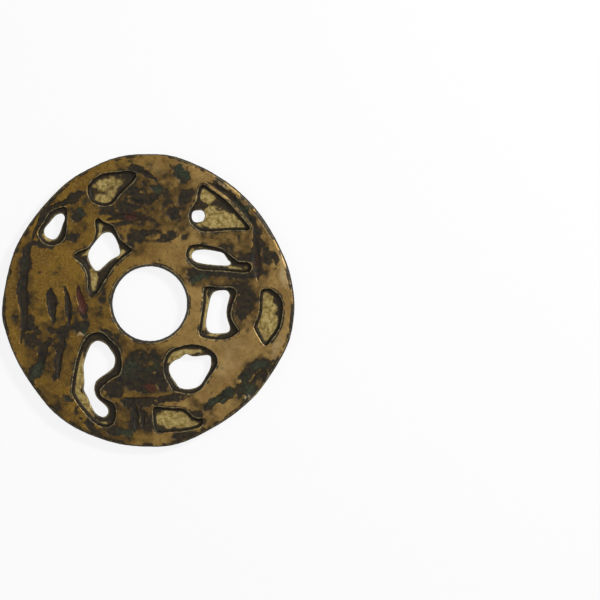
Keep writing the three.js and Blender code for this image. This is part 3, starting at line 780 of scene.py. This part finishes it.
def bronze():
    material = bpy.data.materials.new("cast_bronze")
    nodes = NodeTree(material)
    fine = nodes.noise(0.35 * MM)
    speck = nodes.noise(0.8 * MM, detail=6, rough=0.7)
    broad = nodes.noise(4 * MM)
    speckled = nodes.stretch(speck, 0.35, 0.65)

    # Bare metal: ochre on the left and tan on the right, a painted light that lightens the
    # side towards the key lamp, with bright and dark grain
    plain = nodes.colour(nodes.amount("tan"), OCHRE, TAN)
    bright = nodes.colour(nodes.amount("tan"), BRIGHT_OCHRE, BRIGHT_TAN)
    metal = nodes.colour(nodes.stretch(broad, 0.35, 0.7), plain, bright)
    metal = nodes.colour(nodes.stretch(fine, 0.35, 0.75, 0, 0.45), metal, BRIGHT_GRAIN)
    metal = nodes.colour(nodes.stretch(speck, 0.5, 0.75, 0, 0.7), metal, DARK_SPECK)
    brown = nodes.colour(speckled, *BROWNS)
    metal = nodes.colour(nodes.math("MULTIPLY", nodes.amount("brown"), 0.85), metal, brown)
    # Pale metal, and a painted highlight on the rims facing the key lamp
    metal = nodes.colour(nodes.math("MULTIPLY", nodes.amount("pale"), 0.8), metal, PALE_METAL_AND_HIGHLIGHT)
    metal = nodes.colour(nodes.math("MULTIPLY", nodes.amount("side"), 0.7), metal, RIM_SIDE)

    # Sand on the cell floors, dirt and painted shade over both, and bright worn edges with a
    # painted highlight over all
    body = nodes.colour(nodes.amount("crust"), metal, nodes.colour(speckled, *SANDS))
    red = nodes.colour(nodes.stretch(fine, 0.35, 0.7), *REDS)
    grime_and_shade = nodes.colour(nodes.stretch(speck, 0.35, 0.68), *GRIMES_AND_SHADE)
    green = nodes.colour(nodes.stretch(fine, 0.3, 0.7), *GREENS)
    grime_and_shade = nodes.colour(nodes.amount("green"), grime_and_shade, green)
    grime_and_shade = nodes.colour(nodes.amount("red"), grime_and_shade, red)
    uneven = nodes.stretch(speck, 0.3, 0.7, -0.22, 0.22)
    cover = nodes.math("ADD", nodes.amount("dark"), uneven)
    body = nodes.colour(nodes.stretch(cover, 0.15, 0.75), body, grime_and_shade)
    worn_and_highlight = nodes.stretch(nodes.amount("edge"), 0.3, 0.9, 0, 0.4)
    body = nodes.colour(worn_and_highlight, body, WORN_EDGE_AND_HIGHLIGHT)

    # Where dirt and painted shade cover it the surface is rougher and hardly shines
    nodes.put("Base Color", body)
    nodes.put("Metallic", nodes.stretch(cover, 0.2, 0.8, 0.45, 0.1))
    nodes.put("Roughness", nodes.stretch(cover, 0.2, 0.8, 0.4, 0.55))
    nodes.shader.inputs["Specular IOR Level"].default_value = 0.2

    bump = nodes.tree.nodes.new("ShaderNodeBump")
    bump.inputs["Strength"].default_value = 0.5
    bump.inputs["Distance"].default_value = BUMP_HEIGHT
    nodes.tree.links.new(fine, bump.inputs["Height"])
    nodes.put("Normal", bump.outputs["Normal"])
    return material


# The stage

def area_lamp(name, place, width, power):
    lamp = bpy.data.lights.new(name, "AREA")
    lamp.shape = "DISK"
    lamp.size = width
    lamp.energy = power
    holder = bpy.data.objects.new(name, lamp)
    bpy.context.scene.collection.objects.link(holder)
    holder.location = place
    aim = -holder.location
    holder.rotation_euler = aim.to_track_quat("-Z", "Y").to_euler()


def looked_at(tree):
    """1 where the camera sees a surface, straight or in a mirror or glass, else 0."""
    path = tree.nodes.new("ShaderNodeLightPath")
    seen = path.outputs["Is Camera Ray"]
    for name in ("Is Glossy Ray", "Is Transmission Ray"):
        either = tree.nodes.new("ShaderNodeMath")
        either.operation = "MAXIMUM"
        tree.links.new(seen, either.inputs[0])
        tree.links.new(path.outputs[name], either.inputs[1])
        seen = either.outputs[0]
    return seen


def floor():
    """A pale floor that mostly glows white, and for the rest takes the shadow."""
    mesh = bpy.data.meshes.new("floor")
    corners = [(-1, -1), (1, -1), (1, 1), (-1, 1)]
    corners = [(x * FLOOR_HALF, y * FLOOR_HALF, -FLOOR_DROP) for x, y in corners]
    mesh.from_pydata(corners, [], [(0, 1, 2, 3)])
    plane = bpy.data.objects.new("floor", mesh)
    bpy.context.scene.collection.objects.link(plane)
    material = bpy.data.materials.new("white_floor")
    material.use_nodes = True
    tree = material.node_tree
    shader = tree.nodes["Principled BSDF"]
    shader.inputs["Base Color"].default_value = (FLOOR_COLOUR, FLOOR_COLOUR, FLOOR_COLOUR, 1)
    shader.inputs["Roughness"].default_value = 0.9
    shader.inputs["Specular IOR Level"].default_value = 0
    glow = tree.nodes.new("ShaderNodeEmission")
    glow.inputs["Strength"].default_value = 1
    blend = tree.nodes.new("ShaderNodeMixShader")
    share = tree.nodes.new("ShaderNodeMath")
    share.operation = "MULTIPLY"
    share.inputs[1].default_value = FLOOR_GLOW
    tree.links.new(looked_at(tree), share.inputs[0])
    tree.links.new(share.outputs[0], blend.inputs["Fac"])
    tree.links.new(shader.outputs["BSDF"], blend.inputs[1])
    tree.links.new(glow.outputs["Emission"], blend.inputs[2])
    tree.links.new(blend.outputs["Shader"], tree.nodes["Material Output"].inputs["Surface"])
    mesh.materials.append(material)


def world():
    """A white studio, which is dimmer as a light than it looks."""
    sky = bpy.data.worlds.new("studio")
    sky.use_nodes = True
    background = sky.node_tree.nodes["Background"]
    background.inputs["Color"].default_value = (1, 1, 1, 1)
    strength = sky.node_tree.nodes.new("ShaderNodeMapRange")
    strength.inputs["To Min"].default_value = SKY_LIGHT
    strength.inputs["To Max"].default_value = 1
    sky.node_tree.links.new(looked_at(sky.node_tree), strength.inputs["Value"])
    sky.node_tree.links.new(strength.outputs["Result"], background.inputs["Strength"])
    bpy.context.scene.world = sky


def camera():
    """Straight above the photograph's middle, with the photograph's framing."""
    lens = bpy.data.cameras.new("camera")
    lens.lens = LENS
    lens.sensor_width = SENSOR
    lens.clip_start = NEAREST_SEEN
    holder = bpy.data.objects.new("camera", lens)
    bpy.context.scene.collection.objects.link(holder)
    distance = PHOTO_SIDE * PHOTO_PIXEL * LENS / SENSOR
    x, y = from_photo(*PHOTO_MIDDLE)
    holder.location = (x, y, distance + THICKNESS)
    bpy.context.scene.camera = holder


disc = fine_copy(frame["nodes"]["cast_disc"])
wear_weather_and_paint_light(disc)
disc.data.materials.clear()
disc.data.materials.append(bronze())
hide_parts("cast_disc")
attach(disc, "root")

floor()
world()
for name, (place, width, power) in LAMPS.items():
    area_lamp(name, place, width, power)
camera()
bpy.context.scene.view_settings.view_transform = "Standard"
